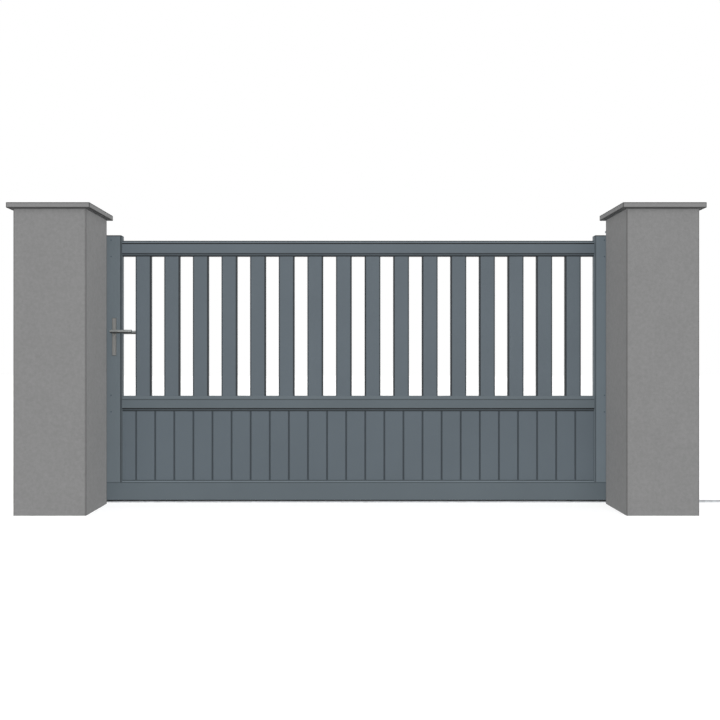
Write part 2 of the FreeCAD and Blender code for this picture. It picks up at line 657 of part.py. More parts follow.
def make_lower_boards():
    """Hollow boards, set out from the right, each with a tongue in the next one's groove."""
    body = new_body("lower_boards", BOARD_START, "0", STILE_FOOT)
    body.AllowCompound = True
    plan = new_sketch(body, "board_plan", "XY")
    half = "(infill_depth / 2)"
    shoulder = "(board_pitch - board_joint_gap)"
    tongue = "(tongue_thickness / 2)"
    tongue_tip = f"({shoulder} + tongue_width)"
    groove = f"({tongue} + seat_clearance)"
    groove_depth = "(tongue_width + seat_clearance)"
    upper_half = [
        (groove_depth, groove),
        ("0", groove),
        ("0", f"{half} - board_bevel"),
        ("board_bevel", half),
        (f"{shoulder} - board_bevel", half),
        (shoulder, f"{half} - board_bevel"),
        (shoulder, tongue),
        (tongue_tip, tongue),
    ]
    lower_half = [(u, f"-({v})") for u, v in reversed(upper_half)]
    draw_outline(plan, upper_half + lower_half)
    chamber_half = f"({half} - board_wall)"
    draw_rectangle(
        plan,
        f"{groove_depth} + board_wall",
        f"{shoulder} - board_bevel",
        f"-{chamber_half}",
        chamber_half,
    )
    length = f"({MID_RAIL_FOOT} + mid_rail_lower_lip - board_head_gap - {STILE_FOOT})"
    board = pad(body, plan, length)
    repeat(body, board, "X", BOARD_COUNT, "board_pitch")
    doc.recompute()
    ends = new_sketch(body, "board_trimming", "XY")
    clear_start = f"({CLEAR_LEFT} - {BOARD_START})"
    clear_end = f"({clear_start} + {CLEAR_WIDTH})"
    row_end = f"(({BOARD_COUNT} + 1) * board_pitch)"
    draw_rectangle(ends, "-board_pitch", clear_start, "-infill_depth", "infill_depth")
    draw_rectangle(ends, clear_end, row_end, "-infill_depth", "infill_depth")
    pocket(body, ends, length, backwards=True)


# Running gear


def make_wheel(side, x):
    """A wheel whose grooved rim just clears the track's bead."""
    body = new_body(f"{side}_wheel", x, "0", AXLE_HEIGHT)
    half_section = new_sketch(body, f"{side}_wheel_section", "XY")
    bore = "(axle_radius + running_clearance)"
    bead_reach = "((track_bead_radius + running_clearance) / sin(wheel_groove_angle))"
    groove_root = f"({AXLE_HEIGHT} - track_thickness - {bead_reach})"
    groove_half = f"((wheel_radius - {groove_root}) * tan(wheel_groove_angle))"
    draw_outline(
        half_section,
        [
            (bore, "-wheel_width / 2"),
            ("wheel_radius", "-wheel_width / 2"),
            ("wheel_radius", f"-{groove_half}"),
            (groove_root, "0"),
            ("wheel_radius", groove_half),
            ("wheel_radius", "wheel_width / 2"),
            (bore, "wheel_width / 2"),
        ],
    )
    spin(body, half_section)


def make_carriage(side, x):
    """An inverted channel that stands on the bottom rail's floor and holds a wheel's axle."""
    body = new_body(f"{side}_carriage", x, "0", RAIL_FLOOR)
    foot_edge = f"({INNER_HALF} - seat_clearance)"
    section = new_sketch(body, f"{side}_carriage_section", "YZ")
    draw_outline(
        section,
        mirrored(
            [
                (CARRIAGE_INNER_HALF, f"{CARRIAGE_TOP} - carriage_wall"),
                (CARRIAGE_INNER_HALF, "0"),
                (foot_edge, "0"),
                (foot_edge, "carriage_wall"),
                (CARRIAGE_OUTER_HALF, "carriage_wall"),
                (CARRIAGE_OUTER_HALF, CARRIAGE_TOP),
            ]
        ),
    )
    pad(body, section, "carriage_length", both_ways=True)
    axle = new_sketch(body, f"{side}_axle", "XZ")
    draw_circle(axle, "axle_radius", "0", f"{AXLE_HEIGHT} - {RAIL_FLOOR}")
    pad(body, axle, f"2 * {CARRIAGE_OUTER_HALF}", both_ways=True)


# Upper guide


def make_guide_bracket():
    body = new_body("guide_bracket", GUIDE_X, PILLAR_BACK, GUIDE_ARM_HEIGHT)
    reach = f"({ROLLER_Y} + guide_arm_margin - {PILLAR_BACK})"
    profile = new_sketch(body, "guide_arm_profile", "YZ", "-guide_arm_margin")
    draw_outline(
        profile,
        [
            ("0", "-guide_plate_drop"),
            ("guide_arm_thickness", "-guide_plate_drop"),
            ("guide_arm_thickness", "0"),
            (reach, "0"),
            (reach, "guide_arm_thickness"),
            ("guide_arm_thickness", "guide_arm_thickness"),
            ("guide_arm_thickness", GUIDE_PLATE_RISE),
            ("0", GUIDE_PLATE_RISE),
        ],
    )
    pad(body, profile, "guide_arm_width")
    centre = "(guide_arm_width / 2 - guide_arm_margin)"
    gusset = new_sketch(body, "guide_gusset", "YZ", centre)
    draw_outline(
        gusset,
        [
            ("guide_arm_thickness", "guide_arm_thickness"),
            ("guide_arm_thickness + guide_gusset_reach", "guide_arm_thickness"),
            ("guide_arm_thickness", GUIDE_PLATE_RISE),
        ],
    )
    pad(body, gusset, "guide_arm_thickness", both_ways=True)
    pin_length = "(roller_drop + roller_length + running_clearance)"
    pins = new_sketch(body, "guide_pins", "XY")
    heads = new_sketch(body, "guide_pin_heads", "XY", f"-{pin_length}")
    for way in ("-1", "1"):
        pin_y = f"{way} * {ROLLER_Y} - {PILLAR_BACK}"
        draw_circle(pins, "pin_radius", "0", pin_y)
        draw_circle(heads, "pin_head_radius", "0", pin_y)
    pad(body, pins, pin_length, backwards=True)
    pad(body, heads, "pin_head_thickness", backwards=True)


def make_guide_rollers():
    top = f"({GUIDE_ARM_HEIGHT} - roller_drop)"
    body = new_body("guide_rollers", GUIDE_X, f"-{ROLLER_Y}", f"{top} - roller_length")
    body.AllowCompound = True
    plan = new_sketch(body, "roller_plan", "XY")
    draw_circle(plan, "roller_radius")
    draw_circle(plan, "pin_radius + running_clearance")
    roller = pad(body, plan, "roller_length")
    repeat(body, roller, "Y", "2", f"2 * {ROLLER_Y}")


# Receiver and latch


def make_receiver():
    foot = f"({PLATE_Z} - receiver_height / 2)"
    web = f"({LEAF_LEFT} - latch_plate_thickness - receiver_end_gap)"
    body = new_body("receiver", web, "0", foot)
    inner = "(leaf_depth / 2 + receiver_side_gap)"
    outer = f"({inner} + receiver_wall)"
    tip = "(latch_plate_thickness + receiver_end_gap + receiver_overlap)"
    plan = new_sketch(body, "receiver_plan", "XY")
    draw_outline(
        plan,
        [
            ("-receiver_wall - receiver_foot", PILLAR_BACK),
            ("0", PILLAR_BACK),
            ("0", f"-{outer}"),
            (tip, f"-{outer}"),
            (tip, f"-{inner}"),
            ("0", f"-{inner}"),
            ("0", inner),
            (tip, inner),
            (tip, outer),
            ("-receiver_wall", outer),
            ("-receiver_wall", f"{PILLAR_BACK} + receiver_wall"),
            ("-receiver_wall - receiver_foot", f"{PILLAR_BACK} + receiver_wall"),
        ],
    )
    pad(body, plan, "receiver_height")
    strike = new_sketch(body, "strike_opening", "YZ")
    draw_centred_rectangle(strike, "strike_width", "strike_height", "0", "receiver_height / 2")
    pocket(body, strike, "receiver_wall")


def make_latch_plate():
    body = new_body("latch_plate", LEAF_LEFT, "0", PLATE_Z)
    face = new_sketch(body, "latch_plate_face", "YZ")
    draw_centred_rectangle(face, "latch_plate_width", "latch_plate_height")
    pad(body, face, "latch_plate_thickness", backwards=True)
    latch = new_sketch(body, "latch_section", "YZ", "-latch_plate_thickness - latch_reach")
    width = "latch_width - 2 * seat_clearance"
    draw_centred_rectangle(latch, width, "latch_height - 2 * seat_clearance")
    pad(body, latch, "2 * latch_reach")


# Handle


def make_handle_plate(side, sign):
    body = new_body(f"{side}_handle_plate", HANDLE_X, f"{sign} * {HALF_DEPTH}", PLATE_Z)
    face = new_sketch(body, f"{side}_plate_face", "XZ")
    draw_centred_rectangle(face, "plate_width", "plate_height")
    plate = pad(body, face, "plate_thickness", backwards=sign > 0)
    outside = sign * number("plate_thickness")
    soften("Chamfer", body, plate, "plate_bevel", lambda edge: lies_at(edge, "y", [outside]))
    hole = new_sketch(body, f"{side}_plate_hole", "XZ")
    draw_circle(hole, "journal_radius + journal_clearance", "0", "plate_drop")
    pocket(body, hole, "2 * plate_thickness", both_ways=True)


def lever_route(sketch, sign):
    """The middle line of a lever: out from the plate, then along the bar."""
    places = [("0", "0"), ("0", f"{sign} * lever_standoff"), ("lever_length", f"{sign} * lever_standoff")]
    corners = [FreeCAD.Vector(number(u), number(v), 0) for u, v in places]
    neck = sketch.addGeometry(Part.LineSegment(corners[0], corners[1]), False)
    bar = sketch.addGeometry(Part.LineSegment(corners[1], corners[2]), False)
    sketch.addConstraint(Sketcher.Constraint("Coincident", neck, 2, bar, 1))
    pin_point(sketch, neck, 1, places[0])
    pin_point(sketch, bar, 1, places[1])
    pin_point(sketch, bar, 2, places[2])


def make_lever(side, sign):
    body = new_body(
        f"{side}_lever",
        HANDLE_X,
        f"{sign} * ({HALF_DEPTH} + plate_thickness + seat_clearance)",
        "handle_height",
    )
    route = new_sketch(body, f"{side}_lever_route", "XY")
    lever_route(route, sign)
    section = new_sketch(body, f"{side}_lever_section", "XZ")
    draw_circle(section, "lever_radius")
    bar = body.newObject("PartDesign::AdditivePipe", f"{side}_lever_bar")
    bar.Profile = section
    bar.Spine = route
    bar.Transition = "Right corner"
    route.Visibility = False
    section.Visibility = False
    tip = number("lever_length")
    soften("Chamfer", body, bar, "lever_end_bevel", lambda edge: lies_at(edge, "x", [tip]))
    journal = new_sketch(body, f"{side}_journal", "XZ")
    draw_circle(journal, "journal_radius")
    pad(body, journal, "plate_thickness + seat_clearance", backwards=sign < 0)
    socket = new_sketch(body, f"{side}_socket", "XZ")
    width = "spindle_width + 2 * spindle_clearance"
    draw_centred_rectangle(socket, width, width)
    depth = "2 * (spindle_seat + spindle_clearance - plate_thickness - seat_clearance)"
    pocket(body, socket, depth, both_ways=True)
    journal_socket = new_sketch(body, f"{side}_journal_socket", "XZ")
    draw_centred_rectangle(journal_socket, width, width)
    pocket(body, journal_socket, "plate_thickness + seat_clearance", backwards=sign > 0)


def make_spindle():
    body = new_body("spindle", HANDLE_X, "0", "handle_height")
    section = new_sketch(body, "spindle_section", "XZ")
    draw_centred_rectangle(section, "spindle_width", "spindle_width")
    pad(body, section, "leaf_depth + 2 * spindle_seat", both_ways=True)


# The whole gate


def make_gate():
    for side, sign in (("left", -1), ("right", 1)):
        make_pillar(side, sign)
    make_ground_track()
    make_end_stop()
    make_guide_bracket()
    make_guide_rollers()
    make_receiver()
    make_bottom_rail()
    make_end_cap("left", LEAF_LEFT, 1)
    make_end_cap("right", LEAF_RIGHT, -1)
    left_stile = make_stile("left", LEAF_LEFT, 1)
    make_lock_holes(left_stile)
    make_stile("right", LEAF_RIGHT, -1)
    make_stile_cap("left", LEAF_LEFT, 1)
    make_stile_cap("right", LEAF_RIGHT, -1)
    make_top_rail()
    make_mid_rail()
    for index in range(round(number(SLAT_COUNT))):
        make_slat(index)
    make_lower_boards()
    for side, x in (("left", f"{LEAF_LEFT} + wheel_inset"), ("right", f"{LEAF_RIGHT} - wheel_inset")):
        make_wheel(side, x)
        make_carriage(side, x)
    make_latch_plate()
    for side, sign in (("front", -1), ("rear", 1)):
        make_handle_plate(side, sign)
        make_lever(side, sign)
    make_spindle()
    doc.recompute()


def check_gate():
    """Stops if any object failed or any piece has no valid solid."""
    for item in doc.Objects:
        if "Invalid" in item.State or "Error" in item.State:
            raise ValueError(f"{item.Label} failed: {item.State}")
    for body in nodes:
        if body.Shape.isNull() or not body.Shape.isValid() or not body.Shape.Solids:
            raise ValueError(f"{body.Label} has no valid solid")


def write_parts():
    os.makedirs("parts", exist_ok=True)
    for body in nodes:
        body.Shape.exportStep(f"parts/{body.Label}.step")


fill_sheet()
make_gate()
check_gate()
write_parts()
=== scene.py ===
import math

import bmesh
import bpy
from mathutils import Matrix, Vector


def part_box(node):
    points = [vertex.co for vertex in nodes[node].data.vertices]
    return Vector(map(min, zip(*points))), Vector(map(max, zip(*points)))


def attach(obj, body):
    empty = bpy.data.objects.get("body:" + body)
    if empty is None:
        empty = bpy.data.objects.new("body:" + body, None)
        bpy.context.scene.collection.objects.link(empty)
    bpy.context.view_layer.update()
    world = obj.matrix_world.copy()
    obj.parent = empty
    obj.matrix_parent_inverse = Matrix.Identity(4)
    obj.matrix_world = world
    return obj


# The looks of a sliding driveway gate: rendered pillars with stone caps, a powder-coated aluminium
# leaf, a satin handle and galvanised running gear. Lengths are in metres.

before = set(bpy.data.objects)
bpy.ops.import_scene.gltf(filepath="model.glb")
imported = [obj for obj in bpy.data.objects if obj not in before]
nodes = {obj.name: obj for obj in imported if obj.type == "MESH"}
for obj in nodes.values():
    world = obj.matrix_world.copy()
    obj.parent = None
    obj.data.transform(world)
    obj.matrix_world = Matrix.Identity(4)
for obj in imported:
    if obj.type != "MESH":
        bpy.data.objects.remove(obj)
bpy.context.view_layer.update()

MM = 0.001

# The camera, which looks level along +Y

IMAGE_SIDE = 720
SENSOR_WIDTH = 36
FOCAL_PIXELS = 867
EYE = Vector((0, -5.279, 0.870))
VANISHING_POINT = (356.3, 359)

# The lights, each as the share of its own colour that a surface facing it shows

SKY_LIGHT = 0.35
KEY_LIGHT = 0.14
KEY_FROM = Vector((0.12, -0.85, 0.45))
FILL_LIGHTS = {
    "front": (Vector((0, -1, 0.35)), 0.61),
    "right": (Vector((1, 0, 0.30)), 0.49),
    "left": (Vector((-1, 0, 0.30)), 0.42),
    "rear": (Vector((0, 1, 0.30)), 0.56),
}
LIGHT_SPREAD = math.radians(40)

# The floor, with its shade for the light that it throws back, and its shade and glow as it is seen

FLOOR_SIDE = 80
FLOOR_CELLS = 8
FLOOR_BOUNCE = 0.22
FLOOR_SHOWN = 0.75
FLOOR_GLOW = 0.34

# Nodes


def feed(tree, socket, source):
    """Joins a socket to another one, or gives it a plain value."""
    if isinstance(source, bpy.types.NodeSocket):
        tree.links.new(source, socket)
    else:
        socket.default_value = source


def add_node(tree, kind, inputs, **settings):
    """A node with its settings, and its inputs by name or number."""
    node = tree.nodes.new(kind)
    for setting, choice in settings.items():
        setattr(node, setting, choice)
    for socket, source in inputs.items():
        feed(tree, node.inputs[socket], source)
    return node


# Marks are painted shade: dark lines on a surface, along its edges, joints and shadow lines

LINE_SOFTNESS = 0.7 * MM
UPRIGHT_LEAN = 0.7
# The reach and range of the painted shadow on a place that another piece covers closely
SHELTER_REACH = 60 * MM
SHELTER_RANGE = (0.35, 0.7)
SHELTER_SAMPLES = 8


def mark(way, depth, **needs):
    """A mark that a way of Finish finds, with what that way needs.

    The depth is the share of the colour that the mark takes away as painted shade. Below 0 it makes its
    place lighter as a painted highlight.
    """
    return way, depth, needs


class Finish:
    """A node material while it is made."""

    def __init__(self, name):
        self.material = bpy.data.materials.new(name)
        self.material.use_nodes = True
        self.tree = self.material.node_tree
        self.shader = self.tree.nodes["Principled BSDF"]
        coordinates = self.node("ShaderNodeTexCoord", {}).outputs
        self.place = coordinates["Object"]
        self.share = coordinates["Generated"]

    def node(self, kind, inputs, **settings):
        """A node of this material."""
        return add_node(self.tree, kind, inputs, **settings)

    def surface(self, **inputs):
        """Sets the shader's own sockets, such as Base_Color."""
        for socket, source in inputs.items():
            feed(self.tree, self.shader.inputs[socket.replace("_", " ")], source)

    def calculate(self, operation, *terms):
        """The outcome of a Math node, such as ADD."""
        return self.node("ShaderNodeMath", dict(enumerate(terms)), operation=operation).outputs[0]

    def axes(self, vector):
        """The X, Y and Z of a vector."""
        return self.node("ShaderNodeSeparateXYZ", {0: vector}).outputs

    def noise(self, scale, detail=2, roughness=0.5, stretch=(1, 1, 1)):
        """A cloudy noise. An axis with a stretch below 1 draws it out."""
        place = self.node("ShaderNodeMapping", {"Vector": self.place, "Scale": stretch}).outputs[0]
        inputs = {"Vector": place, "Scale": scale, "Detail": detail, "Roughness": roughness}
        return self.node("ShaderNodeTexNoise", inputs).outputs["Fac"]

    def cells(self, scale, output="Distance"):
        """A pattern of cells, by the distance from their middles or by a colour for each."""
        return self.node("ShaderNodeTexVoronoi", {"Vector": self.place, "Scale": scale}).outputs[output]

    def spread(self, source, old_range, new_range, smooth=False):
        """Maps one range to another and stays inside it."""
        inputs = dict(enumerate([source, *old_range, *new_range]))
        kind = "SMOOTHSTEP" if smooth else "LINEAR"
        return self.node("ShaderNodeMapRange", inputs, interpolation_type=kind).outputs[0]

    def tones(self, share, first, second):
        """A colour between two others."""
        made = self.node("ShaderNodeMix", {0: share, 6: first, 7: second}, data_type="RGBA")
        return made.outputs[2]

    def darkened(self, colour, amount):
        """The colour taken down by an amount that varies, from 0 to 1."""
        left = self.calculate("SUBTRACT", 1.0, amount)
        grey = self.node("ShaderNodeCombineColor", {0: left, 1: left, 2: left}).outputs[0]
        inputs = {0: 1.0, 6: colour, 7: grey}
        return self.node("ShaderNodeMix", inputs, data_type="RGBA", blend_type="MULTIPLY").outputs[2]

    def relief(self, height, depth):
        """Bump of a depth in metres from a height between 0 and 1."""
        bump = self.node("ShaderNodeBump", {"Height": height, "Distance": depth, "Strength": 1.0})
        self.surface(Normal=bump.outputs[0])

    def near(self, distance, width):
        """1 where a distance is below a width, and 0 beyond."""
        return self.spread(distance, (width - LINE_SOFTNESS, width + LINE_SOFTNESS), (1.0, 0.0), smooth=True)

    def on_line(self, axis, place, half_width, pitch=None):
        """1 on a line across an axis at a place, or on a row of them, and 0 away from it."""
        along = self.calculate("SUBTRACT", self.axes(self.place)["XYZ".index(axis)], place)
        if pitch:
            return self.near(self.calculate("PINGPONG", along, pitch / 2), half_width)
        return self.near(self.calculate("ABSOLUTE", along), half_width)

    def on_rim(self, height, half_width):
        """1 on a level line at a height, on upright surfaces only, and 0 away from it."""
        normal = self.node("ShaderNodeNewGeometry", {}).outputs["True Normal"]
        lean = self.calculate("ABSOLUTE", self.axes(normal)[2])
        upright = self.calculate("LESS_THAN", lean, UPRIGHT_LEAN)
        return self.calculate("MULTIPLY", self.on_line("Z", height, half_width), upright)

    def on_painted_shadow_line(self, axis, place, half_width):
        """1 on a line across an axis where another piece covers it closely, and 0 elsewhere. It masks a
        painted shadow.
        """
        inputs = {"Distance": SHELTER_REACH}
        openness = self.node("ShaderNodeAmbientOcclusion", inputs, samples=SHELTER_SAMPLES).outputs["AO"]
        painted_shadow = self.spread(openness, SHELTER_RANGE, (1.0, 0.0), smooth=True)
        return self.calculate("MULTIPLY", self.on_line(axis, place, half_width), painted_shadow)

    def depths(self, size):
        """How far a point of a box-shaped piece of a size lies inside each pair of its sides."""
        depths = []
        for share, side in zip(self.axes(self.share), size):
            from_middle = self.calculate("ABSOLUTE", self.calculate("SUBTRACT", share, 0.5))
            depths.append(self.calculate("MULTIPLY", self.calculate("SUBTRACT", 0.5, from_middle), side))
        return depths

    def on_edges(self, size, width):
        """1 within a width of the edges of a box-shaped piece of a size, and 0 elsewhere."""
        first, second, third = self.depths(size)
        low = self.calculate("MINIMUM", first, second)
        high = self.calculate("MAXIMUM", first, second)
        middle = self.calculate("MAXIMUM", low, self.calculate("MINIMUM", high, third))
        return self.near(middle, width)

    def on_uprights(self, size, width, return_width):
        """1 within a width of the upright edges across X, and within another width across Y."""
        across_x, across_y = self.depths(size)[:2]
        narrowed = self.calculate("MULTIPLY", across_y, width / return_width)
        return self.near(self.calculate("MAXIMUM", across_x, narrowed), width)

    def on_sides(self, axis, size, width):
        """1 on the two sides across an axis of a box-shaped piece of a size, and 0 elsewhere."""
        return self.near(self.depths(size)["XYZ".index(axis)], width)

    def marked(self, start, marks):
        """A shade with marks laid over it in turn. A lighter one comes after those that it changes."""
        shade = start
        for way, depth, needs in marks:
            strength = self.calculate("MULTIPLY", getattr(self, way)(**needs), depth)
            shade = self.calculate("MAXIMUM" if depth > 0 else "ADD", shade, strength)
        return shade


# Finishes

# A scale is how often a texture repeats in a metre, and a relief is its depth. Tints are factors for
# the lighter and the darker parts of a colour. A range or a roughness in a pair gives its two ends.

NOISE_RANGE = (0.3, 0.7)


def linear(red, green, blue):
    """An sRGB colour from 0 to 255 as the linear colour that the renderer takes."""
    parts = [part / 255 for part in (red, green, blue)]
    return [part / 12.92 if part < 0.04045 else ((part + 0.055) / 1.055) ** 2.4 for part in parts] + [1]


def shades(colour, tints):
    """The colour made lighter and darker."""
    return [[part * tint for part in colour[:3]] + [1] for tint in tints]


COAT_DRIFT_SCALE = 2.3
COAT_SPECKLE_SCALE = 900
COAT_SPECKLE_RANGE = (0.35, 0.75)
COAT_SPECKLE_SHADE = 0.05
COAT_PEEL_SCALE = 420
COAT_TINTS = (1.04, 0.96)
COAT_ROUGHNESS = (0.44, 0.54)
COAT_RELIEF = 0.05 * MM


def coating(name, colour, marks=()):
    """Powder coating with a faint orange peel, and the marks that darken its edges and joints as painted
    shade or lighten a place as a painted highlight.
    """
    finish = Finish(name)
    drift = finish.noise(COAT_DRIFT_SCALE, detail=3)
    speckle = finish.noise(COAT_SPECKLE_SCALE, detail=1)
    light, dark = shades(colour, COAT_TINTS)
    tone = finish.tones(finish.spread(drift, NOISE_RANGE, (0.0, 1.0)), dark, light)
    speckled = finish.spread(speckle, COAT_SPECKLE_RANGE, (0.0, COAT_SPECKLE_SHADE))
    finish.surface(
        Base_Color=finish.darkened(tone, finish.marked(speckled, marks)),
        Roughness=finish.spread(speckle, NOISE_RANGE, COAT_ROUGHNESS),
        Specular_IOR_Level=0.3,
    )
    finish.relief(finish.noise(COAT_PEEL_SCALE, detail=2, roughness=0.4), COAT_RELIEF)
    return finish.material


CLOUD_SCALE = 7
CLOUD_SHARE = 0.25
PATCH_SCALE = 55
MOTTLE_RANGE = (0.35, 0.65)
PIT_RANGE = (0.3, 0.5)
PIT_SHADE = 0.12
PORES_TO_GRAIN = 0.45
PORE_HEIGHT = 0.6
MASONRY_ROUGHNESS = (0.84, 0.95)


def masonry(name, colour, grain_scale, tints, relief, marks):
    """Mineral render or cast stone: sandy grain with pores over a faint mottle."""
    finish = Finish(name)
    clouds = finish.noise(CLOUD_SCALE, detail=4, roughness=0.6)
    patches = finish.noise(PATCH_SCALE, detail=3, roughness=0.65)
    sand = finish.noise(grain_scale, detail=3, roughness=0.7)
    pores = finish.cells(grain_scale * PORES_TO_GRAIN)
    light, dark = shades(colour, tints)
    mottle = finish.calculate(
        "ADD",
        finish.calculate("MULTIPLY", clouds, CLOUD_SHARE),
        finish.calculate("MULTIPLY", patches, 1 - CLOUD_SHARE),
    )
    tone = finish.tones(finish.spread(mottle, MOTTLE_RANGE, (0.0, 1.0)), dark, light)
    pitted = finish.spread(sand, PIT_RANGE, (PIT_SHADE, 0.0))
    finish.surface(
        Base_Color=finish.darkened(tone, finish.marked(pitted, marks)),
        Roughness=finish.spread(sand, NOISE_RANGE, MASONRY_ROUGHNESS),
        Specular_IOR_Level=0.25,
    )
    height = finish.calculate("ADD", sand, finish.calculate("MULTIPLY", pores, PORE_HEIGHT))
    finish.relief(height, relief)
    return finish.material


SPANGLE_SCALE = 70
ZINC_GRAIN_SCALE = 300
ZINC_TINTS = (1.15, 0.82)
ZINC_ROUGHNESS = (0.38, 0.55)
ZINC_RELIEF = 0.06 * MM


def galvanised(name, colour, marks=()):
    """Hot-dip zinc with its spangle."""
    finish = Finish(name)
    brightness = finish.axes(finish.cells(SPANGLE_SCALE, output="Color"))[0]
    light, dark = shades(colour, ZINC_TINTS)
    finish.surface(
        Base_Color=finish.darkened(finish.tones(brightness, dark, light), finish.marked(0.0, marks)),
        Metallic=0.85,
        Roughness=finish.spread(brightness, (0.0, 1.0), ZINC_ROUGHNESS),
    )
    finish.relief(finish.noise(ZINC_GRAIN_SCALE), ZINC_RELIEF)
    return finish.material


BRUSHED_LINE_SCALE = 1500
BRUSHED_STRETCH = 0.04
BRUSHED_DRIFT_SCALE = 60
BRUSHED_TINTS = (1.08, 0.9)
BRUSHED_ROUGHNESS = (0.32, 0.42)
BRUSHED_RELIEF = 0.02 * MM
UNDERSIDE_SHADE_RANGE = (-0.35, 0.35)


def brushed(name, colour, along, metallic=0.9, underside_shade=0.0, marks=()):
    """Metal with fine lines along X, Y or Z, whose lower surfaces are darker by a share, as painted shade.
    """
    finish = Finish(name)
    stretch = [BRUSHED_STRETCH if axis == along else 1 for axis in "XYZ"]
    lines = finish.noise(BRUSHED_LINE_SCALE, detail=3, roughness=0.7, stretch=stretch)
    drift = finish.noise(BRUSHED_DRIFT_SCALE)
    light, dark = shades(colour, BRUSHED_TINTS)
    # Painted shade: a surface is made darker the more it faces down
    facing_up = finish.axes(finish.node("ShaderNodeNewGeometry", {}).outputs["Normal"])[2]
    below = finish.spread(facing_up, UNDERSIDE_SHADE_RANGE, (underside_shade, 0.0), smooth=True)
    finish.surface(
        Base_Color=finish.darkened(finish.tones(lines, dark, light), finish.marked(below, marks)),
        Metallic=metallic,
        Roughness=finish.spread(drift, NOISE_RANGE, BRUSHED_ROUGHNESS),
    )
    finish.relief(lines, BRUSHED_RELIEF)
    return finish.material


TURNED_RING_SCALE = 900
TURNED_TINTS = (1.1, 0.85)
TURNED_ROUGHNESS = (0.28, 0.42)
TURNED_RELIEF = 0.04 * MM


def turned(name, colour, middle, marks):
    """Zinc-plated steel turned on a lathe about an axis along Y through a point."""
    finish = Finish(name)
    inputs = {"Vector": finish.place, "Location": [-middle.x, 0, -middle.z]}
    x, y, z = finish.axes(finish.node("ShaderNodeMapping", inputs).outputs[0])
    squares = [finish.calculate("POWER", part, 2.0) for part in (x, z)]
    radius = finish.calculate("SQRT", finish.calculate("ADD", *squares))
    rings = finish.node("ShaderNodeCombineXYZ", {0: radius, 1: y}).outputs[0]
    inputs = {"Vector": rings, "Scale": TURNED_RING_SCALE, "Detail": 2}
    cuts = finish.node("ShaderNodeTexNoise", inputs).outputs["Fac"]
    light, dark = shades(colour, TURNED_TINTS)
    finish.surface(
        Base_Color=finish.darkened(finish.tones(cuts, dark, light), finish.marked(0.0, marks)),
        Metallic=0.85,
        Roughness=finish.spread(cuts, NOISE_RANGE, TURNED_ROUGHNESS),
    )
    finish.relief(cuts, TURNED_RELIEF)
    return finish.material


MOULDED_GRAIN_SCALE = 1100
MOULDED_GRAIN_RANGE = (0.0, 0.6)
MOULDED_DRIFT_SCALE = 40
MOULDED_TINTS = (1.05, 0.95)
MOULDED_ROUGHNESS = (0.5, 0.62)
MOULDED_RELIEF = 0.05 * MM


def moulded(name, colour):
    """Moulded plastic with a fine grain."""
    finish = Finish(name)
    grain = finish.cells(MOULDED_GRAIN_SCALE)
    light, dark = shades(colour, MOULDED_TINTS)
    finish.surface(
        Base_Color=finish.tones(finish.noise(MOULDED_DRIFT_SCALE), dark, light),
        Roughness=finish.spread(grain, MOULDED_GRAIN_RANGE, MOULDED_ROUGHNESS),
        Specular_IOR_Level=0.35,
    )
    finish.relief(grain, MOULDED_RELIEF)
    return finish.material


# Colours

# A coated surface mirrors this share of its surroundings, so it is taken off the surface's own colour

GLOSS = 0.024


def under_gloss(red, green, blue):
    """The colour below the gloss, so that both together show the given colour."""
    return [part - GLOSS for part in linear(red, green, blue)[:3]] + [1]


# The rails, boards and slats are one coating in copies, a little darker towards the bottom of the leaf:
# painted shade
RAIL_TONES = {
    "top_rail": under_gloss(102, 110, 116),
    "mid_rail": under_gloss(101, 109, 114),
    "bottom_rail": under_gloss(100, 108, 113),
}
# The stiles are the same coating made lighter, the right one more: painted light that makes up for the
# pillars' shade
STILE_PAINTED_LIGHT_TONES = {
    "left": under_gloss(107, 115, 120),
    "right": under_gloss(112, 121, 127),
}
BOARD_TONE = under_gloss(99, 107, 113)
SLAT_TONE = under_gloss(101, 109, 115)
SCREW_TONE = under_gloss(84, 92, 98)
RENDER_TONE = linear(135, 135, 135)
CAP_TONE = linear(136, 136, 136)
PLATE_TONE = linear(151, 151, 149)
LEVER_TONE = linear(185, 188, 187)
ZINC_TONE = linear(178, 182, 186)
TRACK_TONE = linear(198, 201, 204)
STEEL_TONE = linear(165, 166, 168)
NYLON_TONE = linear(32, 32, 33)

# Finishes of the CAD pieces


def size_of(name):
    low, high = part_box(name)
    return high - low


def dress(material, *names):
    """Gives the material to every slot of the named nodes."""
    for name in names:
        for slot in nodes[name].material_slots:
            slot.material = material


LINE_HALF = 3.3 * MM
RIM_HALF = 1.6 * LINE_HALF
GROOVE_HALF = 1.5 * MM
RAIL_LIPS = {
    "top_rail": (14.5 * MM, 16.5 * MM),
    "mid_rail": (15.5 * MM, 20 * MM),
}
# How much painted shade each line of a rail takes, at its creases, grooves, lower lip and head
RAIL_SHADE_DEPTHS = {
    "top_rail": {"foot": 0.95, "lower groove": 0.75, "upper groove": 1.0, "head": 0.85},
    "mid_rail": {"foot": 0.85, "lower lip": 0.3, "lower groove": 0.95, "upper groove": 0.45, "head": 0.05},
}


def dress_rails():
    """The top and mid rails, with painted shade in lines at the foot, the two shadow lines and the head, and
    on the mid rail's lower lip.
    """
    for name, depths in RAIL_SHADE_DEPTHS.items():
        low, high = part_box(name)
        lower_lip, upper_lip = RAIL_LIPS[name]
        lines = {
            "foot": (low.z, RIM_HALF),
            "lower lip": (low.z + lower_lip / 2, lower_lip / 2),
            "lower groove": (low.z + lower_lip + GROOVE_HALF, LINE_HALF),
            "upper groove": (high.z - upper_lip - GROOVE_HALF, LINE_HALF),
        }
        marks = [mark("on_rim", depths["head"], height=high.z, half_width=RIM_HALF)]
        for line, (height, half_width) in lines.items():
            if line in depths:
                marks.append(mark("on_line", depths[line], axis="Z", place=height, half_width=half_width))
        dress(coating(f"{name}_coating", RAIL_TONES[name], marks), name)


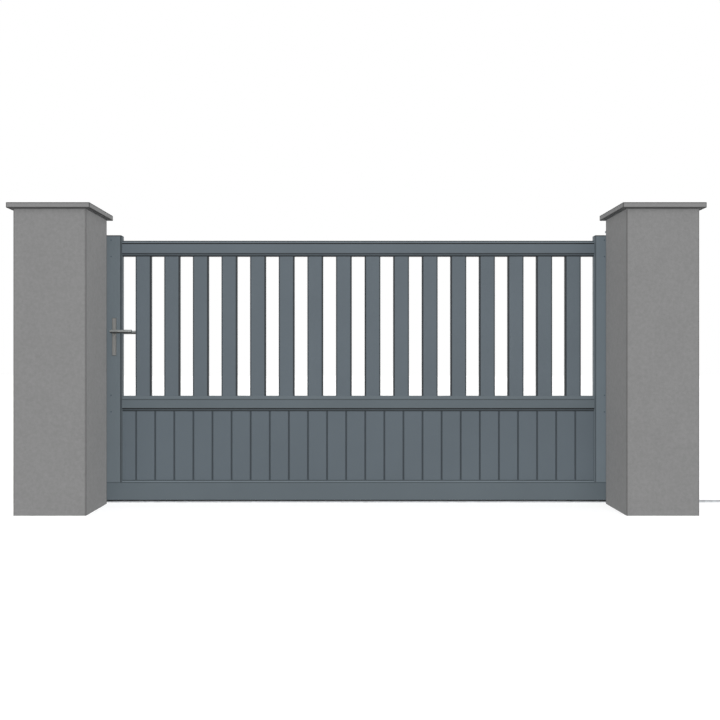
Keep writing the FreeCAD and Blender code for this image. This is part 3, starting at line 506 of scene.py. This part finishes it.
def dress_bottom_rail():
    """The bottom rail and its end covers, with painted shade in a line under the stiles and at the head, and
    a painted highlight on the lip above it.
    """
    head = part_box("bottom_rail")[1].z
    foot_of_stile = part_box("left_stile")[0].z
    marks = [
        mark("on_line", depth=0.42, axis="Z", place=foot_of_stile - GROOVE_HALF, half_width=LINE_HALF),
        mark("on_rim", depth=0.6, height=head, half_width=RIM_HALF),
        # A painted highlight on the upward lip above the stiles' foot
        mark("on_line", depth=-0.4, axis="Z", place=foot_of_stile + LINE_HALF, half_width=LINE_HALF),
    ]
    coat = coating("bottom_rail_coating", RAIL_TONES["bottom_rail"], marks)
    dress(coat, "bottom_rail", "left_end_cap", "right_end_cap")


STILE_LIP = 7 * MM
# How much painted shade each stile takes on its shadow line, its lip and its head, set apart for the two
# sides
STILE_SHADE_DEPTHS = {
    "left": {"groove": 0.68, "lip": 0.4, "head": 0.9},
    "right": {"groove": 0.5, "lip": 0.28, "head": 0.9},
}


def dress_stiles():
    """The stiles and their covers, with painted shade on a shadow line and a lip on the side of the infill,
    and at the head.
    """
    for side, depths in STILE_SHADE_DEPTHS.items():
        low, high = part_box(f"{side}_stile")
        edge, way = (high.x, -1) if side == "left" else (low.x, 1)
        groove = edge + way * (STILE_LIP + GROOVE_HALF)
        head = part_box(f"{side}_stile_cap")[1].z
        marks = [
            mark("on_line", depths["groove"], axis="X", place=groove, half_width=LINE_HALF),
            mark("on_line", depths["lip"], axis="X", place=edge, half_width=STILE_LIP),
            mark("on_rim", depths["head"], height=head, half_width=RIM_HALF),
        ]
        coat = coating(f"{side}_stile_coating", STILE_PAINTED_LIGHT_TONES[side], marks)
        dress(coat, f"{side}_stile", f"{side}_stile_cap")


# Painted shade on the slats: along their edges, on their sides and in a band at the edge that faces the
# leaf's middle
SLAT_EDGE_WIDTH = 8 * MM
SLAT_SHADE_HALF = 9.5 * MM
SLAT_SIDE_WIDTH = 1.2 * MM


def dress_slats():
    """The slats, each with painted shade on its edges and sides, and along the edge that faces the leaf's
    middle.
    """
    slats = sorted(name for name in nodes if name.startswith("slat_"))
    size = size_of(slats[0])
    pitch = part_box(slats[1])[0].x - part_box(slats[0])[0].x
    half = len(slats) // 2
    for side, row, corner in (("left", slats[:half], 1), ("right", slats[half:], 0)):
        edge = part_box(row[0])[corner].x
        marks = [
            mark("on_edges", depth=0.55, size=size, width=SLAT_EDGE_WIDTH),
            mark("on_line", depth=0.8, axis="X", place=edge, half_width=SLAT_SHADE_HALF, pitch=pitch),
            mark("on_sides", depth=0.8, axis="X", size=size, width=SLAT_SIDE_WIDTH),
        ]
        dress(coating(f"{side}_slat_coating", SLAT_TONE, marks), *row)


BOARD_PITCH = 116 * MM
BOARD_TRIM = 4.5 * MM
BOARD_GAP = 0.5 * MM
BOARD_GROOVE_HALF = 6 * MM


def dress_boards():
    """The boards, with painted shade in the groove at each joint, set out from the trimmed one at the right
    stile.
    """
    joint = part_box("right_stile")[0].x + BOARD_TRIM - BOARD_GAP / 2
    marks = [
        mark("on_line", depth=0.5, axis="X", place=joint, half_width=BOARD_GROOVE_HALF, pitch=BOARD_PITCH),
    ]
    dress(coating("board_coating", BOARD_TONE, marks), "lower_boards")


RENDER_GRAIN_SCALE = 380
RENDER_TINTS = (1.065, 0.935)
RENDER_RELIEF = 0.5 * MM
# Painted shade along the pillar's upright edges, wider on its sides, and at its head below the cap
RENDER_EDGE_WIDTH = 6.5 * MM
RENDER_RETURN_WIDTH = 12 * MM
RENDER_HEAD_HALF = 2.5 * MM


def dress_pillar(side):
    """A pillar in sandy render, with painted shade along its upright edges and at its head."""
    name = f"{side}_pillar"
    edges = {"width": RENDER_EDGE_WIDTH, "return_width": RENDER_RETURN_WIDTH}
    marks = [
        mark("on_uprights", depth=0.34, size=size_of(name), **edges),
        mark("on_rim", depth=0.55, height=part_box(name)[1].z, half_width=RENDER_HEAD_HALF),
    ]
    look = (RENDER_TONE, RENDER_GRAIN_SCALE, RENDER_TINTS, RENDER_RELIEF)
    dress(masonry(f"{side}_pillar_render", *look, marks), name)


STONE_GRAIN_SCALE = 520
STONE_TINTS = (1.03, 0.97)
STONE_RELIEF = 0.25 * MM
STONE_EDGE_WIDTH = 4.5 * MM


def dress_cap(side):
    """A pillar's cap in smooth cast stone, with painted shade along its edges all round."""
    name = f"{side}_pillar_cap"
    marks = [
        mark("on_edges", depth=0.65, size=size_of(name), width=STONE_EDGE_WIDTH),
        mark("on_rim", depth=0.92, height=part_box(name)[1].z, half_width=STONE_EDGE_WIDTH),
    ]
    look = (CAP_TONE, STONE_GRAIN_SCALE, STONE_TINTS, STONE_RELIEF)
    dress(masonry(f"{side}_cap_stone", *look, marks), name)


BEAD_HALF_SHOWN = 5.5 * MM
WHEEL_HALF_SHOWN = 7 * MM


def dress_running_gear():
    """The track and the wheels, with a painted shadow where the leaf covers them, the carriages and the end
    stop.
    """
    bead_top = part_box("ground_track")[1].z
    # Painted shade along the top of the track's bead, and a painted shadow on it where the leaf covers it
    marks = [
        mark("on_line", depth=0.3, axis="Z", place=bead_top, half_width=BEAD_HALF_SHOWN),
        mark("on_painted_shadow_line", depth=1.0, axis="Z", place=bead_top, half_width=BEAD_HALF_SHOWN),
    ]
    dress(galvanised("track_zinc", TRACK_TONE, marks), "ground_track")
    # A painted shadow on the wheels' feet under the leaf
    marks = [mark("on_painted_shadow_line", depth=1.0, axis="Z", place=bead_top, half_width=WHEEL_HALF_SHOWN)]
    for side in ("left", "right"):
        low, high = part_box(f"{side}_wheel")
        steel = turned(f"{side}_wheel_steel", STEEL_TONE, (low + high) / 2, marks)
        dress(steel, f"{side}_wheel")
    dress(galvanised("zinc", ZINC_TONE), "end_stop", "left_carriage", "right_carriage")


PLATE_EDGE_WIDTH = 3 * MM


def dress_fittings():
    """The guide, the receiver, the latch and the handle."""
    dress(coating("bracket_coating", RAIL_TONES["top_rail"]), "guide_bracket", "receiver")
    dress(moulded("nylon", NYLON_TONE), "guide_rollers")
    dress(brushed("lock_steel", STEEL_TONE, "Z"), "latch_plate", "spindle")
    # The levers' lower surfaces are darkened as painted shade
    dress(brushed("lever_metal", LEVER_TONE, "X", underside_shade=0.8), "front_lever", "rear_lever")
    # Painted shade along the handle plates' edges
    marks = [mark("on_edges", depth=0.45, size=size_of("front_handle_plate"), width=PLATE_EDGE_WIDTH)]
    plate_metal = brushed("plate_metal", PLATE_TONE, "Z", metallic=0.6, marks=marks)
    dress(plate_metal, "front_handle_plate", "rear_handle_plate")


# Making meshes

ROUND_SIDES = 20
WELD_DISTANCE = 0.001 * MM


def lathe(shape, profile, place, sides=ROUND_SIDES):
    """Adds the surface that a profile of (radius, height) makes about Z, put in place by a matrix."""
    rings = []
    for radius, height in profile:
        if radius == 0:
            rings.append([shape.verts.new(place @ Vector((0, 0, height)))])
            continue
        ring = []
        for step in range(sides):
            turn = 2 * math.pi * step / sides
            corner = Vector((radius * math.cos(turn), radius * math.sin(turn), height))
            ring.append(shape.verts.new(place @ corner))
        rings.append(ring)
    for below, above in zip(rings, rings[1:]):
        for step in range(sides):
            following = (step + 1) % sides
            corners = [below[step % len(below)], below[following % len(below)],
                       above[following % len(above)], above[step % len(above)]]
            distinct = list(dict.fromkeys(corners))
            shape.faces.new(distinct)


def facing(point, direction):
    """A matrix that puts a piece made about Z at a point, with its Z along a direction."""
    return Matrix.Translation(point) @ Vector(direction).to_track_quat("Z", "Y").to_matrix().to_4x4()


def finished_mesh(shape, name):
    """The mesh of a bmesh, with its doubled corners joined and its faces turned outwards."""
    bmesh.ops.remove_doubles(shape, verts=shape.verts, dist=WELD_DISTANCE)
    bmesh.ops.recalc_face_normals(shape, faces=shape.faces)
    mesh = bpy.data.meshes.new(name)
    shape.to_mesh(mesh)
    shape.free()
    return mesh


def add_piece(name, shape, material, body):
    mesh = finished_mesh(shape, name)
    piece = bpy.data.objects.new(name, mesh)
    bpy.context.scene.collection.objects.link(piece)
    mesh.materials.append(material)
    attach(piece, body)


# Fasteners

# The washer's sizes are shares of the bolt's width across flats. The chamfer's are shares of the
# head's radius to a corner and its height, and the button's of its own radius and height.

WASHER_SIDES = 24
WASHER_RADIUS = 0.95
WASHER_THICKNESS = 0.12
HEXAGON_SIDES = 6
CHAMFER_RADIUS = 0.86
CHAMFER_HEIGHT = 0.15
BUTTON_DOME = [(1, 0), (0.97, 0.4), (0.8, 0.8), (0.5, 1)]
BUTTON_SOCKET = [(0.5, 1), (0.42, 1), (0.42, 0.3), (0, 0.3)]


def add_bolt(shape, place, across, height):
    """A hexagon head with a chamfered top, on a washer."""
    washer = across * WASHER_RADIUS
    thickness = across * WASHER_THICKNESS
    profile = [(0, 0), (washer, 0), (washer, thickness), (0, thickness)]
    lathe(shape, profile, place, WASHER_SIDES)
    corner = across / math.sqrt(3)
    top = thickness + height
    profile = [
        (0, thickness),
        (corner, thickness),
        (corner, top - height * CHAMFER_HEIGHT),
        (corner * CHAMFER_RADIUS, top),
        (0, top),
    ]
    lathe(shape, profile, place, HEXAGON_SIDES)


def add_button(shape, place, radius, height):
    """A low domed screw head with a socket."""
    for outline in (BUTTON_DOME, BUTTON_SOCKET):
        lathe(shape, [(radius * out, height * up) for out, up in outline], place)


# A screw is given by its radius and height, and a bolt or nut by its width across flats and height

STILE_SCREW = (4.2 * MM, 1.6 * MM)
STILE_SCREW_RISE = 50 * MM
STILE_SCREW_INSETS = {"left": 48 * MM, "right": 53 * MM}


def add_stile_screws(material):
    """Two screws at each end of the top and mid rails, on both faces of the stiles."""
    shape = bmesh.new()
    for side, inset in STILE_SCREW_INSETS.items():
        low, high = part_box(f"{side}_stile")
        x = low.x + inset if side == "left" else high.x - inset
        for rail in ("top_rail", "mid_rail"):
            foot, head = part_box(rail)
            for way in (-1, 1):
                z = (foot.z + head.z) / 2 + way * STILE_SCREW_RISE
                for y, out in ((low.y, -1), (high.y, 1)):
                    add_button(shape, facing((x, y, z), (0, out, 0)), *STILE_SCREW)
    add_piece("stile_screws", shape, material, "leaf")


TRACK_SCREW = (3.2 * MM, 1.2 * MM)
TRACK_SCREW_SPACING = 400 * MM
TRACK_SCREW_SIDE = 15.6 * MM


def add_track_screws(material):
    """Screws along both edges of the track's strip, in turn."""
    low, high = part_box("ground_track")
    strip_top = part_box("end_stop")[0].z
    shape = bmesh.new()
    count = int((high.x - low.x) / TRACK_SCREW_SPACING)
    start = (low.x + high.x - (count - 1) * TRACK_SCREW_SPACING) / 2
    for index in range(count):
        way = 1 if index % 2 else -1
        place = (start + index * TRACK_SCREW_SPACING, way * TRACK_SCREW_SIDE, strip_top)
        add_button(shape, facing(place, (0, 0, 1)), *TRACK_SCREW)
    add_piece("track_screws", shape, material, "posts_and_track")


BRACKET_BOLT = (13 * MM, 5.5 * MM)
PIN_NUT = (17 * MM, 8 * MM)
STOP_BOLT = (10 * MM, 5 * MM)
GUIDE_THICKNESS = 8 * MM
GUIDE_ARM_RISE = 78 * MM
GUIDE_BOLT_DROP = 32 * MM
GUIDE_BOLT_MARGIN = 18 * MM
GUIDE_BOLT_SIDE = 18 * MM
ROLLER_RADIUS = 15 * MM
RECEIVER_WALL = 4 * MM
RECEIVER_BOLT_INSET = 22 * MM
RECEIVER_BOLT_MARGIN = 40 * MM
STOP_FOOT_THICKNESS = 6 * MM
STOP_BOLT_INSET = 18 * MM
STOP_BOLT_SIDE = 11.5 * MM


def add_guide_bolts(shape):
    """Two bolts below the guide's arm and two above it, and a nut on each roller's pin."""
    low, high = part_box("guide_bracket")
    rollers_low, rollers_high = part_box("guide_rollers")
    arm_top = rollers_high.z + GUIDE_ARM_RISE
    middle = (low.x + high.x) / 2
    plate_face = low.y + GUIDE_THICKNESS
    for z in (arm_top - GUIDE_BOLT_DROP, high.z - GUIDE_BOLT_MARGIN):
        for way in (-1, 1):
            place = (middle + way * GUIDE_BOLT_SIDE, plate_face, z)
            add_bolt(shape, facing(place, (0, 1, 0)), *BRACKET_BOLT)
    pin_x = (rollers_low.x + rollers_high.x) / 2
    for y in (rollers_low.y + ROLLER_RADIUS, rollers_high.y - ROLLER_RADIUS):
        add_bolt(shape, facing((pin_x, y, arm_top), (0, 0, 1)), *PIN_NUT)


def add_receiver_bolts(shape):
    """Three bolts up the receiver's foot on the pillar."""
    low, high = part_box("receiver")
    for z in (low.z + RECEIVER_BOLT_MARGIN, (low.z + high.z) / 2, high.z - RECEIVER_BOLT_MARGIN):
        place = (low.x + RECEIVER_BOLT_INSET, low.y + RECEIVER_WALL, z)
        add_bolt(shape, facing(place, (0, 1, 0)), *BRACKET_BOLT)


def add_stop_bolts(shape):
    """A bolt on each side of the end stop's gusset."""
    low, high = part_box("end_stop")
    for way in (-1, 1):
        place = (high.x - STOP_BOLT_INSET, way * STOP_BOLT_SIDE, low.z + STOP_FOOT_THICKNESS)
        add_bolt(shape, facing(place, (0, 0, 1)), *STOP_BOLT)


def add_bracket_bolts(material):
    """The bolts and nuts of the guide, the receiver and the end stop, as one piece."""
    shape = bmesh.new()
    add_guide_bolts(shape)
    add_receiver_bolts(shape)
    add_stop_bolts(shape)
    add_piece("bracket_bolts", shape, material, "posts_and_track")


# Floor, light and camera


def shown_share(tree):
    """1 for rays that show the floor or the sky to the eye, straight or by way of metal or glass."""
    path = add_node(tree, "ShaderNodeLightPath", {}).outputs
    rays = {0: path["Is Camera Ray"], 1: path["Is Glossy Ray"]}
    straight_or_mirrored = add_node(tree, "ShaderNodeMath", rays, operation="MAXIMUM").outputs[0]
    rays = {0: straight_or_mirrored, 1: path["Is Transmission Ray"]}
    return add_node(tree, "ShaderNodeMath", rays, operation="MAXIMUM").outputs[0]


def add_floor():
    """A pale floor that shows white, keeps the gate's shadow and throws little light back."""
    shape = bmesh.new()
    bmesh.ops.create_grid(shape, x_segments=FLOOR_CELLS, y_segments=FLOOR_CELLS, size=FLOOR_SIDE / 2)
    floor = bpy.data.objects.new("floor", finished_mesh(shape, "floor"))
    bpy.context.scene.collection.objects.link(floor)
    material = bpy.data.materials.new("floor_paint")
    material.use_nodes = True
    tree = material.node_tree
    tree.nodes.clear()
    bounce = add_node(tree, "ShaderNodeBsdfDiffuse", {"Color": [FLOOR_BOUNCE] * 3 + [1]})
    shown = add_node(tree, "ShaderNodeBsdfDiffuse", {"Color": [FLOOR_SHOWN] * 3 + [1]})
    glow = add_node(tree, "ShaderNodeEmission", {"Strength": FLOOR_GLOW})
    seen = add_node(tree, "ShaderNodeAddShader", {0: shown.outputs[0], 1: glow.outputs[0]})
    inputs = {0: shown_share(tree), 1: bounce.outputs[0], 2: seen.outputs[0]}
    mix = add_node(tree, "ShaderNodeMixShader", inputs)
    add_node(tree, "ShaderNodeOutputMaterial", {"Surface": mix.outputs[0]})
    floor.data.materials.append(material)


def add_sky():
    """A sky that shows white and gives a share of its light."""
    world = bpy.data.worlds.new("sky")
    bpy.context.scene.world = world
    world.use_nodes = True
    tree = world.node_tree
    inputs = {"Value": shown_share(tree), "To Min": SKY_LIGHT, "To Max": 1}
    strength = add_node(tree, "ShaderNodeMapRange", inputs).outputs[0]
    background = tree.nodes["Background"]
    feed(tree, background.inputs["Color"], [1, 1, 1, 1])
    feed(tree, background.inputs["Strength"], strength)


def add_sun(name, direction, share, fill=False):
    """A far lamp, as strong as a share of white. A fill has no shadow and no highlight."""
    lamp = bpy.data.lights.new(name, "SUN")
    lamp.energy = share * math.pi
    lamp.angle = LIGHT_SPREAD
    lamp.use_shadow = not fill
    sun = bpy.data.objects.new(name, lamp)
    sun.visible_glossy = not fill
    sun.rotation_euler = direction.to_track_quat("Z", "Y").to_euler()
    bpy.context.scene.collection.objects.link(sun)


def add_camera():
    """A level camera, shifted so that its vanishing point lies where the picture has it."""
    data = bpy.data.cameras.new("camera")
    data.sensor_width = SENSOR_WIDTH
    data.lens = FOCAL_PIXELS * SENSOR_WIDTH / IMAGE_SIDE
    data.shift_x = (IMAGE_SIDE / 2 - VANISHING_POINT[0]) / IMAGE_SIDE
    data.shift_y = (VANISHING_POINT[1] - IMAGE_SIDE / 2) / IMAGE_SIDE
    camera = bpy.data.objects.new("camera", data)
    camera.location = EYE
    camera.rotation_euler = (math.pi / 2, 0, 0)
    bpy.context.scene.collection.objects.link(camera)
    bpy.context.scene.camera = camera


dress_rails()
dress_bottom_rail()
dress_stiles()
dress_slats()
dress_boards()
for side in ("left", "right"):
    dress_pillar(side)
    dress_cap(side)
dress_running_gear()
dress_fittings()
add_stile_screws(coating("screw_coating", SCREW_TONE))
fastener_zinc = galvanised("fastener_zinc", ZINC_TONE)
add_track_screws(fastener_zinc)
add_bracket_bolts(fastener_zinc)
add_floor()
add_sky()
add_sun("key", KEY_FROM, KEY_LIGHT)
for side, (direction, share) in FILL_LIGHTS.items():
    add_sun(f"{side}_fill", direction, share, fill=True)
add_camera()
bpy.context.scene.view_settings.view_transform = "Standard"
